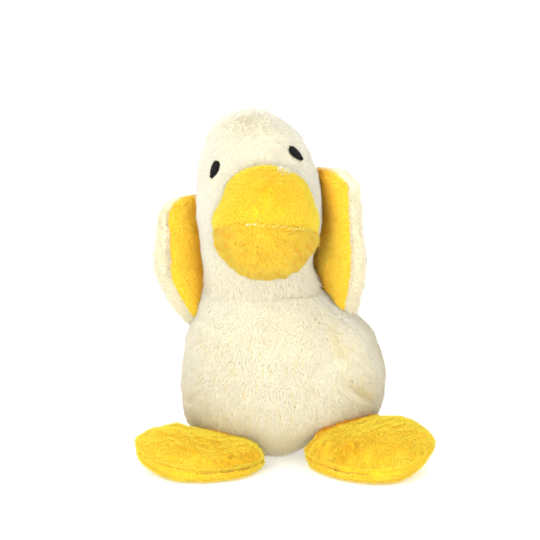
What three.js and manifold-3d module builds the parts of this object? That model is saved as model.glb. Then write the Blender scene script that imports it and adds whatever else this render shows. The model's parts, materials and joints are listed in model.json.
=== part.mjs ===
// A seated plush duck, in millimetres, +Z up. It faces -Y, its seat rests on z = 0 with the
// origin in the middle of the seat, and its own left side is at +X.
import * as THREE from 'three';
import { mergeVertices } from 'three/addons/utils/BufferGeometryUtils.js';
import Module from 'manifold-3d';

const wasm = await Module();
wasm.setup();

// Sewing: how far apart pieces lie, and how thick cloth with its pile is
const clearance = 0.3;
const bodyPile = 2.4;
const limbPile = 1.8;
const overrun = 10;

// Body, a pear from the seat up to the neck
const neckHeight = 75;
const neckRadius = 24.3;
const neckShift = -8.5;
const bellyHeight = 28;
const bodyHalfWidth = 43;
const bodyHalfDepth = 38;
const seatRadius = 19;
const rimDrop = 4;
const shoulderPower = 2;
const leanDrop = 25;
const seatBack = 5;
const seatSeamHeight = 4;
const tailHeight = 24;
const tailReach = 7;
const tailHalfHeight = 10;
const tailTurn = 0.3;
const rumpHeight = 48;
const rumpReach = 5;
const rumpHalfHeight = 20;

// Head, with its neck ball, a round face and a high dome
const headHeight = 71.5;
const cheekHeight = 28;
const cheekRadius = 27.3;
const domePower = 2.2;
const headRoll = 5;
const nodTurn = 10;

// Bill, an egg on the face with the mouth seam round its middle
const billHalfWidth = 22.3;
const billHalfDepth = 28;
const billHalfHeight = 23.4;
const billAside = 3.6;
const billForward = 26;
const billHeight = 28;
const billPitch = 18;
const mouthDrop = 4;
const mouthTilt = 8;

// Eyes, teardrops of thread
const eyeLength = 8.6;
const eyeWidth = 4.8;
const eyeThickness = 1;
const eyeTaperShare = 0.3;
const leftEyeDrop = 19;
const rightEyeDrop = 21.5;
const eyes = [
  { name: 'left_eye', height: headHeight - leftEyeDrop, turn: 48, tilt: 36 },
  { name: 'right_eye', height: headHeight - rightEyeDrop, turn: -42, tilt: -20 },
];

// Wings, flat pads that stand up from the shoulder seams
const wingBreadth = 36;
const wingThickness = 11.5;
const wingRootBreadth = 19;
const wingHem = 3;
const wingSquareness = 2.6;
const wingSeamShare = 0.3;
const wingTurn = 100;
const wingSweep = 3;
const wingFoldTurn = 110;
const wingTaperShares = { from: -0.15, to: 0.55 };
const wingEndPower = 7;
const leftWingLength = 63;
const leftWingRootDrop = 15;
const leftWingInset = 5.5;
const rightWingLength = 55;
const rightWingRootDrop = 17;
const rightWingInset = 0.5;
const wings = [
  {
    side: 1,
    name: 'left_wing',
    length: leftWingLength,
    rootHeight: neckHeight - leftWingRootDrop,
    inset: leftWingInset,
    lean: -1,
    yaw: 28,
  },
  {
    side: -1,
    name: 'right_wing',
    length: rightWingLength,
    rootHeight: neckHeight - rightWingRootDrop,
    inset: rightWingInset,
    lean: 12,
    yaw: 36,
  },
];

// Feet, oval pads that splay from the front of the seat
const footLength = 66;
const footBreadth = 45;
const footReach = 9;
const footRimHeight = 7;
const footEggShare = 0.1;
const footSoleShare = 0.8;
const footDomePower = 0.8;
const ankleHeight = 17;
const footSwingTurn = 22;
const leftFootThickness = 23;
const rightFootThickness = 19;
const feet = [
  { side: 1, name: 'left_foot', thickness: leftFootThickness, turn: 45 },
  { side: -1, name: 'right_foot', thickness: rightFootThickness, turn: 42 },
];

// Pellet pouch on the seat
const pouchRadius = 18;
const pouchHeight = 13;
const pouchCloth = 0.8;

// Where the panels meet, as turns from the front towards +X, and one whole turn
const bodySeamTurns = [66, 180, 260];
const headSeamTurns = [95, 180, 265];
const fullTurn = 360;
const fanTurn = 30;

const cream = new THREE.MeshStandardMaterial({ color: 0xfbf3d0, roughness: 0.95, metalness: 0 });
const shade = new THREE.MeshStandardMaterial({ color: 0xf3e9bf, roughness: 0.95, metalness: 0 });
const yellow = new THREE.MeshStandardMaterial({ color: 0xfbcb3a, roughness: 0.95, metalness: 0 });
const amber = new THREE.MeshStandardMaterial({ color: 0xf6bd2c, roughness: 0.95, metalness: 0 });
const thread = new THREE.MeshStandardMaterial({ color: 0x37322e, roughness: 0.6, metalness: 0 });
const fibre = new THREE.MeshStandardMaterial({ color: 0xf6f6f2, roughness: 1, metalness: 0 });
const lining = new THREE.MeshStandardMaterial({ color: 0xe9e4d8, roughness: 0.9, metalness: 0 });
const beads = new THREE.MeshStandardMaterial({ color: 0xdedede, roughness: 0.5, metalness: 0 });

const radians = THREE.MathUtils.degToRad;
const smooth = THREE.MathUtils.smoothstep;

// A closed geometry as a solid that can be joined and cut
function solidOf(geometry) {
  const bare = geometry.clone();
  bare.deleteAttribute('normal');
  bare.deleteAttribute('uv');
  const merged = mergeVertices(bare);
  const vertProperties = new Float32Array(merged.attributes.position.array);
  const triVerts = new Uint32Array(merged.index.array);
  return new wasm.Manifold(new wasm.Mesh({ numProp: 3, vertProperties, triVerts }));
}

// A finished solid as a named mesh
function piece(name, solid, material) {
  const { numProp, vertProperties, triVerts } = solid.getMesh();
  const corners = new THREE.InterleavedBuffer(vertProperties, numProp);
  const geometry = new THREE.BufferGeometry();
  geometry.setAttribute('position', new THREE.InterleavedBufferAttribute(corners, 3, 0));
  geometry.setIndex(new THREE.BufferAttribute(triVerts, 1));
  const plain = geometry.toNonIndexed();
  plain.computeVertexNormals();
  const mesh = new THREE.Mesh(plain, material);
  mesh.name = name;
  return mesh;
}

function moved(solid, matrix) {
  return solid.transform(Array.from(matrix.elements));
}

function block(width, depth, height, x, y, z) {
  return solidOf(new THREE.BoxGeometry(width, depth, height).translate(x, y, z));
}

// A closed skin through level rings from the bottom up. Each ring is an oval, which squareness
// over 2 fills out, egg widens towards +X and bump(ring, turn) swells outwards. The first and
// last rings are points.
function skin(rings, sides, { squareness = 2, egg = 0, bump = () => 0 } = {}) {
  const full = (value) => Math.sign(value) * Math.abs(value) ** (2 / squareness);
  const points = [];
  const faces = [];
  const last = rings.length - 1;
  rings.forEach((ring, row) => {
    const count = row === 0 || row === last ? 1 : sides;
    for (let side = 0; side < count; side += 1) {
      const turn = (side / sides) * 2 * Math.PI;
      const swell = count === 1 ? 0 : bump(ring, turn);
      const x = full(Math.sin(turn)) * (ring.wide + swell);
      const y = -full(Math.cos(turn)) * (ring.deep + swell) * (1 + egg * Math.sin(turn));
      points.push(ring.x + x, ring.y + y, ring.z);
    }
  });
  const top = points.length / 3 - 1;
  const at = (row, side) => 1 + (row - 1) * sides + (side % sides);
  for (let side = 0; side < sides; side += 1) {
    faces.push(0, at(1, side + 1), at(1, side), top, at(last - 1, side), at(last - 1, side + 1));
    for (let row = 1; row < last - 1; row += 1) {
      const [a, b] = [at(row, side), at(row, side + 1)];
      const [c, d] = [at(row + 1, side + 1), at(row + 1, side)];
      faces.push(a, b, c, a, c, d);
    }
  }
  const geometry = new THREE.BufferGeometry();
  geometry.setAttribute('position', new THREE.Float32BufferAttribute(points, 3));
  geometry.setIndex(faces);
  return solidOf(geometry);
}

// The same rings moved outwards along the normal of their profile, or inwards if growth < 0
function grown(rings, growth) {
  const last = rings.length - 1;
  return rings.map((ring, row) => {
    const below = rings[Math.max(row - 1, 0)];
    const above = rings[Math.min(row + 1, last)];
    const rise = above.z - below.z;
    const spread = (above.wide - below.wide + above.deep - below.deep) / 2;
    const slant = Math.hypot(rise, spread);
    const out = row === 0 || row === last ? 0 : (growth * rise) / slant;
    const up = (-growth * spread) / slant;
    return { ...ring, wide: ring.wide + out, deep: ring.deep + out, z: ring.z + up };
  });
}

// The body: a flat seat, a round lower edge and shoulders that narrow to the neck
function bodyRings(lowerRows, upperRows) {
  const rings = [{ wide: 0, deep: 0, x: 0, y: seatBack, z: 0 }];
  for (let row = 0; row <= lowerRows; row += 1) {
    const turn = (row / lowerRows) * (Math.PI / 2);
    const bulge = Math.sin(turn);
    rings.push({
      wide: seatRadius + (bodyHalfWidth - seatRadius) * bulge,
      deep: seatRadius + (bodyHalfDepth - seatRadius) * bulge,
      x: 0,
      y: seatBack * (1 - bulge),
      z: bellyHeight * (1 - Math.cos(turn)),
    });
  }
  for (let row = 1; row <= upperRows; row += 1) {
    const rise = row / upperRows;
    const bulge = (1 + Math.cos(Math.PI * rise ** shoulderPower)) / 2;
    const z = bellyHeight + (neckHeight - bellyHeight) * rise;
    rings.push({
      wide: neckRadius + (bodyHalfWidth - neckRadius) * bulge,
      deep: neckRadius + (bodyHalfDepth - neckRadius) * bulge,
      x: neckShift * smooth(z, neckHeight - leanDrop, neckHeight),
      y: 0,
      z,
    });
  }
  rings.push({ wide: 0, deep: 0, x: neckShift, y: 0, z: neckHeight });
  return rings;
}

// A round rump, and a small tail where the back panels meet, low on the back
function backBump(ring, turn) {
  const aside = (turn - Math.PI) / tailTurn;
  const away = (ring.z - tailHeight) / tailHalfHeight;
  const rumpAway = (ring.z - rumpHeight) / rumpHalfHeight;
  const rump = rumpReach * Math.max(0, -Math.cos(turn)) * Math.exp(-rumpAway * rumpAway);
  return rump + tailReach * Math.exp(-aside * aside - away * away);
}

// A point of the body's surface at a height and a turn from the front towards +X
function bodyPoint(height, turn) {
  const rings = bodyRings(24, 48);
  const upper = rings.findIndex((ring) => ring.z > height);
  const [low, high] = [rings[upper - 1], rings[upper]];
  const share = (height - low.z) / (high.z - low.z);
  const mix = (key) => low[key] + (high[key] - low[key]) * share;
  const angle = radians(turn);
  return new THREE.Vector3(mix('x') + mix('wide') * Math.sin(angle), -mix('deep') * Math.cos(angle), height);
}

// The head above its neck ball, in its own frame with the ball's centre at the origin
function headRings(ballRows, faceRows, domeRows) {
  const rings = [{ wide: 0, deep: 0, x: 0, y: 0, z: -neckRadius }];
  const ring = (radius, z) => rings.push({ wide: radius, deep: radius, x: 0, y: 0, z });
  for (let row = 1; row <= ballRows; row += 1) {
    const turn = (row / ballRows) * (Math.PI / 2);
    ring(neckRadius * Math.sin(turn), -neckRadius * Math.cos(turn));
  }
  for (let row = 1; row <= faceRows; row += 1) {
    const rise = row / faceRows;
    const swell = (1 - Math.cos(Math.PI * rise)) / 2;
    ring(neckRadius + (cheekRadius - neckRadius) * swell, cheekHeight * rise);
  }
  for (let row = 1; row < domeRows; row += 1) {
    const rise = Math.sin((row / domeRows) * (Math.PI / 2));
    const radius = cheekRadius * (1 - rise ** domePower) ** (1 / domePower);
    ring(radius, cheekHeight + (headHeight - cheekHeight) * rise);
  }
  rings.push({ wide: 0, deep: 0, x: 0, y: 0, z: headHeight });
  return rings;
}

function ball(radius, centre) {
  const sphere = new THREE.SphereGeometry(radius, 24, 16).translate(centre.x, centre.y, centre.z);
  return solidOf(sphere);
}

// A wedge of space round the Z axis, between two turns from the front towards +X
function fan(fromTurn, toTurn, radius, height) {
  const outline = new THREE.Shape();
  const steps = Math.ceil((toTurn - fromTurn) / fanTurn);
  outline.moveTo(0, 0);
  for (let step = 0; step <= steps; step += 1) {
    const turn = radians(fromTurn + ((toTurn - fromTurn) * step) / steps);
    outline.lineTo(radius * Math.sin(turn), -radius * Math.cos(turn));
  }
  outline.closePath();
  const wedge = new THREE.ExtrudeGeometry(outline, { depth: 2 * height, bevelEnabled: false });
  return solidOf(wedge.translate(0, 0, -height));
}

// A cover cut at upright seams into panels, each from one seam's turn to the next
function panelsAt(cover, seams, radius, height) {
  let open = cover;
  for (const seam of seams) {
    const slit = new THREE.BoxGeometry(clearance, radius, 2 * height).translate(0, -radius / 2, 0);
    open = open.subtract(solidOf(slit.rotateZ(radians(seam))));
  }
  return seams.map((seam, k) => {
    const before = k === 0 ? seams[seams.length - 1] - fullTurn : seams[k - 1];
    return open.intersect(fan(before, seam, radius, height));
  });
}

// A pad cut level at its seam into the part above and the part below
function halvesAt(cover, height, size) {
  const above = block(size, size, size, 0, 0, height + clearance / 2 + size / 2);
  const below = block(size, size, size, 0, 0, height - clearance / 2 - size / 2);
  return [cover.intersect(above), cover.intersect(below)];
}

// A solid with room for an obstacle that turns about an axis through the solid's own origin
function clearedOf(solid, obstacle, axis, degrees) {
  return degrees.reduce((left, angle) => {
    const turned = new THREE.Matrix4().makeRotationAxis(axis, radians(-angle));
    return left.subtract(moved(obstacle, turned));
  }, solid);
}

function steps(from, to, count) {
  return Array.from({ length: count + 1 }, (_, k) => from + ((to - from) * k) / count);
}

const duck = new THREE.Group();
const neck = new THREE.Vector3(neckShift, 0, neckHeight);
const wide = bodyHalfWidth + overrun;
const tall = neckHeight + headHeight;

// The head's frame leans about its neck
const head = new THREE.Group();
head.position.copy(neck);
head.rotation.y = -radians(headRoll);
head.updateMatrixWorld();
duck.add(head);

// Head solid, grown by some millimetres, in the head's own frame
function headSolid(growth, sides = 24, rows = [6, 4, 7]) {
  return skin(grown(headRings(...rows), growth), sides);
}

// Body solid with its seat for the neck ball, grown by some millimetres
function bodySolid(growth, sides = 28, rows = [6, 8]) {
  const whole = skin(grown(bodyRings(...rows), growth), sides, { bump: backBump });
  const open = block(2 * wide, 2 * wide, tall, 0, 0, neckHeight - rimDrop + tall / 2);
  return whole.subtract(open).subtract(ball(neckRadius + clearance - growth, neck));
}

// Pellet pouch: a low dome on the seat panel
function pouchDome(shrink, floor) {
  const radius = pouchRadius - shrink;
  const height = pouchHeight - shrink;
  const profile = [new THREE.Vector2(0, 0), new THREE.Vector2(radius, 0)];
  for (const share of [0.2, 0.4, 0.6, 0.8]) {
    const turn = (share * Math.PI) / 2;
    profile.push(new THREE.Vector2(radius * Math.cos(turn), height * Math.sin(turn)));
  }
  profile.push(new THREE.Vector2(0, height));
  const dome = new THREE.LatheGeometry(profile, 20).rotateX(Math.PI / 2);
  return solidOf(dome.translate(0, seatBack, floor));
}

function addPouch() {
  const floor = bodyPile + clearance;
  const rise = pouchCloth + clearance;
  const base = pouchDome(0, floor).intersect(block(wide, wide, pouchCloth, 0, 0, floor + pouchCloth / 2));
  const lid = pouchDome(0, floor + rise).subtract(pouchDome(pouchCloth, floor + rise));
  duck.add(piece('pouch_base', base, lining));
  duck.add(piece('pouch_top', lid, lining));
  duck.add(piece('pellets', pouchDome(pouchCloth + clearance, floor + rise), beads));
  return pouchDome(-clearance, floor).add(pouchDome(-clearance, floor + rise)).add(pouchDome(-clearance, 0));
}

function addBody() {
  const cover = bodySolid(0).subtract(bodySolid(-bodyPile, 16, [5, 6]));
  const [upper, seat] = halvesAt(cover, seatSeamHeight, 2 * tall);
  const [belly, leftBack, rightBack] = panelsAt(upper, bodySeamTurns, wide, tall);
  duck.add(piece('belly_panel', belly, cream));
  duck.add(piece('left_back_panel', leftBack, shade));
  duck.add(piece('right_back_panel', rightBack, shade));
  duck.add(piece('seat_panel', seat, shade));
  const pocket = addPouch();
  const stuffing = bodySolid(-bodyPile - clearance, 16, [5, 6]).subtract(pocket);
  duck.add(piece('body_stuffing', stuffing, fibre));
}

// Bill solid in the head's frame, grown by some millimetres
function billSolid(growth, columns = 22, rows = 12) {
  const egg = new THREE.SphereGeometry(1, columns, rows);
  egg.scale(billHalfWidth + growth, billHalfDepth + growth, billHalfHeight + growth);
  return solidOf(egg.rotateX(-radians(billPitch)).translate(billAside, -billForward, billHeight));
}

function addBill() {
  const face = headSolid(clearance);
  const cover = billSolid(0).subtract(billSolid(-limbPile, 14, 8)).subtract(face);
  const size = 4 * billHalfDepth;
  const level = new THREE.BoxGeometry(size, size, clearance).translate(0, 0, -mouthDrop);
  const toMouth = (block) => {
    const turned = block.rotateY(radians(mouthTilt)).rotateX(-radians(billPitch));
    return solidOf(turned.translate(billAside, -billForward, billHeight));
  };
  const upperSpace = new THREE.BoxGeometry(size, size, size).translate(0, 0, size / 2 - mouthDrop);
  const open = cover.subtract(toMouth(level));
  const above = toMouth(upperSpace);
  head.add(piece('upper_bill_panel', open.intersect(above), yellow));
  head.add(piece('lower_bill_panel', open.subtract(above), amber));
  const stuffing = billSolid(-limbPile - clearance, 14, 8).subtract(face);
  head.add(piece('bill_stuffing', stuffing, fibre));
}

// Radius of the head at a height over the neck ball's centre
function headRadius(height) {
  const rise = (height - cheekHeight) / (headHeight - cheekHeight);
  return cheekRadius * (1 - rise ** domePower) ** (1 / domePower);
}

// An eye: a teardrop prism through a thin layer of the head's surface
function addEye({ name, height, turn, tilt }) {
  const layer = headSolid(clearance + eyeThickness).subtract(headSolid(clearance));
  const outline = new THREE.Shape();
  for (let step = 0; step < 16; step += 1) {
    const angle = (step / 16) * 2 * Math.PI;
    const narrow = 1 + eyeTaperShare * Math.sin(angle);
    const x = (eyeWidth / 2) * Math.cos(angle) * narrow;
    const y = (eyeLength / 2) * Math.sin(angle);
    if (step === 0) outline.moveTo(x, y);
    else outline.lineTo(x, y);
  }
  const reach = eyeLength;
  const prism = new THREE.ExtrudeGeometry(outline, { depth: 2 * reach, bevelEnabled: false });
  prism.translate(0, 0, -reach).rotateZ(radians(tilt)).rotateX(Math.PI / 2);
  prism.translate(0, -headRadius(height), 0).rotateZ(radians(turn)).translate(0, 0, height);
  head.add(piece(name, layer.intersect(solidOf(prism)), thread));
}

function addHead() {
  const cover = headSolid(0).subtract(headSolid(-bodyPile, 16, [4, 3, 5]));
  const [face, left, right] = panelsAt(cover, headSeamTurns, wide, tall);
  head.add(piece('face_panel', face, cream));
  head.add(piece('left_head_panel', left, shade));
  head.add(piece('right_head_panel', right, shade));
  head.add(piece('head_stuffing', headSolid(-bodyPile - clearance, 16, [4, 3, 5]), fibre));
  addBill();
  eyes.forEach(addEye);
}

// Rings of a wing pad from its root up: narrow at the seam, broad and blunt at the tip
function wingRings({ side, length, inset }, rows) {
  const x = -side * inset;
  const rings = [{ wide: 0, deep: 0, x, y: 0, z: -wingHem }];
  for (let row = 1; row < rows; row += 1) {
    const rise = (1 - Math.cos((row / rows) * Math.PI)) / 2;
    const spread = smooth(rise, wingTaperShares.from, wingTaperShares.to);
    const end = Math.sqrt(1 - Math.abs(2 * rise - 1) ** wingEndPower);
    const breadth = wingRootBreadth + (wingBreadth - wingRootBreadth) * spread;
    rings.push({
      wide: (wingThickness / 2) * end,
      deep: (breadth / 2) * end,
      x,
      y: wingSweep * spread,
      z: length * rise - wingHem,
    });
  }
  rings.push({ wide: 0, deep: 0, x, y: wingSweep, z: length - wingHem });
  return rings;
}

function addWing(cut) {
  const { side, name, length, rootHeight, inset, lean, yaw } = cut;
  const wing = new THREE.Group();
  wing.position.copy(bodyPoint(rootHeight, side * wingTurn));
  wing.rotation.set(0, side * radians(lean), side * radians(yaw), 'ZYX');
  wing.updateMatrixWorld();
  duck.add(wing);
  const pad = (growth, sides, rows) =>
    skin(grown(wingRings(cut, rows), growth), sides, { squareness: wingSquareness });
  const toWing = wing.matrixWorld.clone().invert();
  const body = moved(bodySolid(clearance), toWing);
  const nodding = moved(headRoom, toWing);
  const axis = new THREE.Vector3(0, side, 0);
  const room = (solid) => clearedOf(solid, body, axis, steps(0, wingFoldTurn, 10)).subtract(nodding);
  const cover = pad(0, 16, 12).subtract(pad(-limbPile, 12, 8));
  const seamAt = -side * (inset + wingThickness * wingSeamShare);
  const seam = block(clearance, 2 * length, 4 * length, seamAt, 0, 0);
  const outside = block(length, 2 * length, 4 * length, seamAt + (side * length) / 2, 0, 0);
  const open = room(cover).subtract(seam);
  wing.add(piece(`${name}_cover`, open.intersect(outside), cream));
  wing.add(piece(`${name}_lining`, open.subtract(outside), yellow));
  wing.add(piece(`${name}_stuffing`, room(pad(-limbPile - clearance, 12, 8)), fibre));
}

// Rings of a foot pad from its flat sole up, in the ankle's frame
function footRings(thickness, rows) {
  const rings = [{ wide: 0, deep: 0, x: footReach, y: 0, z: -ankleHeight }];
  const ring = (share, height) => {
    const wide = (footLength / 2) * share;
    const deep = (footBreadth / 2) * share;
    rings.push({ wide, deep, x: footReach, y: 0, z: height - ankleHeight });
  };
  for (const turn of [0, radians(30), radians(60)]) {
    ring(footSoleShare + (1 - footSoleShare) * Math.sin(turn), footRimHeight * (1 - Math.cos(turn)));
  }
  for (let row = 0; row < rows; row += 1) {
    const turn = (row / rows) * (Math.PI / 2);
    ring(Math.cos(turn) ** footDomePower, footRimHeight + (thickness - footRimHeight) * Math.sin(turn));
  }
  rings.push({ wide: 0, deep: 0, x: footReach, y: 0, z: thickness - ankleHeight });
  return rings;
}

function addFoot({ side, name, thickness, turn }) {
  const foot = new THREE.Group();
  foot.position.copy(bodyPoint(ankleHeight, side * turn));
  foot.rotation.z = radians(side * turn - 90);
  foot.updateMatrixWorld();
  duck.add(foot);
  const pad = (growth, sides, rows) =>
    skin(grown(footRings(thickness, rows), growth), sides, { egg: footEggShare });
  const body = moved(bodySolid(clearance), foot.matrixWorld.clone().invert());
  const axis = new THREE.Vector3(0, -1, 0);
  const room = (solid) => clearedOf(solid, body, axis, steps(-footSwingTurn, footSwingTurn, 6));
  const cover = room(pad(0, 22, 6).subtract(pad(-limbPile, 14, 4)));
  const [top, sole] = halvesAt(cover, footRimHeight - ankleHeight, 2 * footLength);
  foot.add(piece(`${name}_top`, top, yellow));
  foot.add(piece(`${name}_sole`, sole, amber));
  foot.add(piece(`${name}_stuffing`, room(pad(-limbPile - clearance, 14, 4)), fibre));
}

// The space that the head takes up as it nods
const headRoom = steps(-nodTurn, nodTurn, 4)
  .map((angle) => new THREE.Matrix4().makeRotationX(radians(angle)).premultiply(head.matrixWorld))
  .map((place) => moved(headSolid(clearance), place))
  .reduce((room, turned) => room.add(turned));

addBody();
addHead();
wings.forEach(addWing);
feet.forEach(addFoot);

// The middle of the seat goes to the origin
duck.position.y = -seatBack;

export default duck;
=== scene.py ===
"""The seated plush duck: padded covers under short pile, stitched eyes, on a plain white ground.

Shapes are worked out in millimetres in the frame of each stuffed part, then placed in metres.
Turns are counted from the front of the duck towards its own left side.
"""
import json
import zlib

import bmesh
import bpy
import numpy as np
from mathutils import Matrix, Vector


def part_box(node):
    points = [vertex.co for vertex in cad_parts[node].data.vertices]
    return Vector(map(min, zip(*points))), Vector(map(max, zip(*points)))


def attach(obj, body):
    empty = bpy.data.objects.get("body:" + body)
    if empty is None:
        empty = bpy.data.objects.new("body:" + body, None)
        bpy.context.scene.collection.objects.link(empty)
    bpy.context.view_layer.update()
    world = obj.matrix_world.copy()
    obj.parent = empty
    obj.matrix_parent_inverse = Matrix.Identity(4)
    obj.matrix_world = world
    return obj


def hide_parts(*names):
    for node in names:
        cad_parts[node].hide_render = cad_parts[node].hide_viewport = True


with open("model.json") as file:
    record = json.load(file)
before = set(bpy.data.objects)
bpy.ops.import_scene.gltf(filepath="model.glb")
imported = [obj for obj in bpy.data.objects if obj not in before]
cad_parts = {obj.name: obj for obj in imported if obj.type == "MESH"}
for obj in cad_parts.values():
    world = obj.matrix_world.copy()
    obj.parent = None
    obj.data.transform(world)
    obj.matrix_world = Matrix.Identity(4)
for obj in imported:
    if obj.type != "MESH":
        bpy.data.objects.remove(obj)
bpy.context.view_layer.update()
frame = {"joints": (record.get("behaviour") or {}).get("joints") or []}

MM = 0.001
HINGES = {joint["child"]: joint for joint in frame["joints"]}


def hinge_place(body):
    """Where a body's hinge is, in millimetres."""
    return np.array(HINGES[body]["pos_m"]) / MM


# Body, a pear from the seat up to the neck; its mean radius turns shares of its ovals into millimetres
SEAT_RADIUS = 19.0
BODY_HALF_WIDTH = 43.0
BODY_HALF_DEPTH = 38.0
BODY_MEAN_RADIUS = 40.0
BELLY_HEIGHT = 28.0
NECK_RADIUS = 24.3
NECK_X, NECK_Y, NECK_HEIGHT = hinge_place("head")
RIM_DROP = 4.0
LEAN_DROP = 25.0
SEAT_SEAM_HEIGHT = 4.0
SEAT_DISC_SHARES = (0, 0.4, 0.75)
CUP_GAP = 0.3
TAIL_HEIGHT, TAIL_REACH, TAIL_HALF_HEIGHT, TAIL_TURN = 24.0, 7.0, 10.0, 0.3
RUMP_HEIGHT, RUMP_REACH, RUMP_HALF_HEIGHT = 48.0, 5.0, 20.0
BODY_SEAMS = [66.0, 180.0, 260.0]

# Head, with a round face and a high dome
HEAD_HEIGHT = 71.5
CHEEK_HEIGHT = 28.0
CHEEK_RADIUS = 27.3
DOME_POWER = 2.2
HEAD_ROLL = 5.0
HEAD_SEAMS = [95.0, 180.0, 265.0]

# Bill, an egg on the face with the mouth seam round its middle
BILL_HALF_WIDTH, BILL_HALF_DEPTH, BILL_HALF_HEIGHT = 22.3, 28.0, 23.4
BILL_OFFSET = np.array([3.6, -26.0, 28.0])
BILL_PITCH = 18.0
MOUTH_DROP = 4.0
MOUTH_TILT = 8.0

# Eyes, teardrops of satin stitch: height, turn and tilt of each, and the slope that the face has there
EYE_LENGTH, EYE_WIDTH, EYE_TAPER = 8.6, 4.6, 0.3
EYE_THREAD = 0.2
EYE_STITCHES = 36
EYE_SLOPE = 0.86
EYES = {"left_eye": (53.2, 53.5, 36.0), "right_eye": (50.2, -45.0, -20.0)}

# Wings: hem is what hangs below the hinge, root the breadth there, inset the way in from the hinge; bulge and
# middle are how much the edge swells and where, and square is how blunt the ends are
WING_THICKNESS = 11.5
WING_BREADTH = 36.0
WING_ROOT = 17.0
WING_ROOT_SINK = 3.5
WING_TIP_BACK = 3.0
WING_SEAM = 3.45
WING_SQUARENESS = 2.6
WINGS = {
    "left_wing": dict(
        side=1, length=64.0, hem=4.0, root=WING_ROOT + 4.0, inset=5.5, lean=-1.0, yaw=28.0,
        bulge=2.5, middle=0.36, shift=-2.3, square=18,
    ),
    "right_wing": dict(
        side=-1, length=56.0, hem=6.0, root=WING_ROOT, inset=0.5, lean=12.0, yaw=36.0,
        bulge=4.5, middle=0.42, shift=1.7, square=9,
    ),
}

# Feet: flat is how much the top sinks near the body, shallow the share of the breadth that is kept, slant the
# skew past the bend, shift the way outwards and lift the rise of the toes
FOOT_LENGTH, FOOT_BREADTH, FOOT_REACH = 66.0, 45.0, 9.0
FOOT_RIM_HEIGHT = 7.0
FOOT_EGG_SHARE = 0.1
FOOT_SQUARENESS = 2.1
FOOT_BEND, FOOT_TOES = 14.0, 36.0
FEET = {
    "left_foot": dict(thickness=23.0, turn=45.0, flat=0.14, shallow=1.0, slant=0.15, shift=-1.2, lift=6.5),
    "right_foot": dict(thickness=19.0, turn=-42.0, flat=0.24, shallow=0.84, slant=0.33, shift=0.3, lift=3.5),
}

# Cloth: its thickness, and its depth below the surface that the pile fills
BACKING = 1.1
PILE_SINK = 1.2

# Distance of a cloth's outer and inner skin from what it is sewn to, and of a wing from the head
SEWN_OUTER, SEWN_INNER = -1.7, -0.6
HEAD_GAP = 0.3

# Turns of the hinges, in degrees, at which the limbs are laid on the body
WING_TURNS = (60, 30, 0)
FOOT_TURNS = (-22, -11, 22, 11, 0)
FOOT_END_TURNS = (-22, 22, 0)

# Least heights of cloth, fibre, the tips of pile and its roots over the ground
CLOTH_FLOOR, FIBRE_FLOOR, TIP_FLOOR, ROOT_FLOOR = 0.3, 1.8, 0.15, 0.1

# Lumps and dimples of the stuffing under each skin: height and wavelength of both
UNEVENNESS = {
    "body": (0.5, 34.0, 0.22, 11.0),
    "head": (0.35, 26.0, 0.15, 9.0),
    "wing": (0.4, 18.0, 0.2, 7.0),
    "foot": (0.45, 18.0, 0.25, 7.0),
}


def seeded(name):
    """Random numbers that stay the same each run, a different row for each name."""
    return np.random.default_rng(zlib.crc32(name.encode()))


def unit(vectors):
    """Vectors divided by their own length."""
    return vectors / np.maximum(np.linalg.norm(vectors, axis=-1, keepdims=True), 1e-9)


def smooth(value, low, high):
    """An even step from 0 below low to 1 above high: 3 x share squared less 2 x share cubed."""
    share = np.clip((value - low) / (high - low), 0, 1)
    return share * share * (3 - 2 * share)


def bell(value, breadth):
    """A bell curve, 1 at zero: e to the power of minus the square of value over breadth."""
    return np.exp(-((value / breadth) ** 2))


def lumps(points, wavelength, name, waves=14):
    """A soft random field of about -1 to 1: a sum of plane sine waves in random directions."""
    draw = seeded(name)
    ways = unit(draw.normal(size=(waves, 3))) * (2 * np.pi / wavelength)
    ways *= draw.uniform(0.6, 1.5, (waves, 1))
    phases = draw.uniform(0, 2 * np.pi, waves)
    return np.sin(points @ ways.T + phases).sum(-1) / np.sqrt(waves)


def uneven(points, kind, name):
    """How far the stuffing pushes the skin out: a field of broad lumps and one of small dimples."""
    high, broad, low, small = UNEVENNESS[kind]
    return high * lumps(points, broad, name + " lumps") + low * lumps(points, small, name + " dimples")


def turned(degrees, axis):
    """The matrix of a turn about an axis."""
    return np.array(Matrix.Rotation(np.radians(degrees), 3, axis))


def full_turn(columns):
    """Even turns round a closed grid."""
    return np.linspace(0, 2 * np.pi, columns, endpoint=False)


def turn_span(start, end, columns):
    """Even turns across a panel, from one seam in degrees to the next."""
    return np.radians(np.linspace(start, end, columns))


def oval_rings(rows, turns, squareness=2.0, egg=0.0, swell=0.0):
    """Points of level ovals: centre + radius x (sine, -cosine) of the turn, filled out by squareness.

    rows is (wide, deep, x, y, z), one array each; the grid has a row per ring and a column per turn.
    """
    wide, deep, x, y, z = (np.asarray(part, float)[:, None] for part in rows)
    power = 2 / squareness
    side = np.sign(np.sin(turns)) * np.abs(np.sin(turns)) ** power
    front = -np.sign(np.cos(turns)) * np.abs(np.cos(turns)) ** power
    swell = np.where(np.minimum(wide, deep) < 1e-6, 0, swell)
    points_x = x + side * (wide + swell)
    points_y = y + front * (deep + swell) * (1 + egg * np.sin(turns))
    return np.stack(np.broadcast_arrays(points_x, points_y, z), -1)


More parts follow.
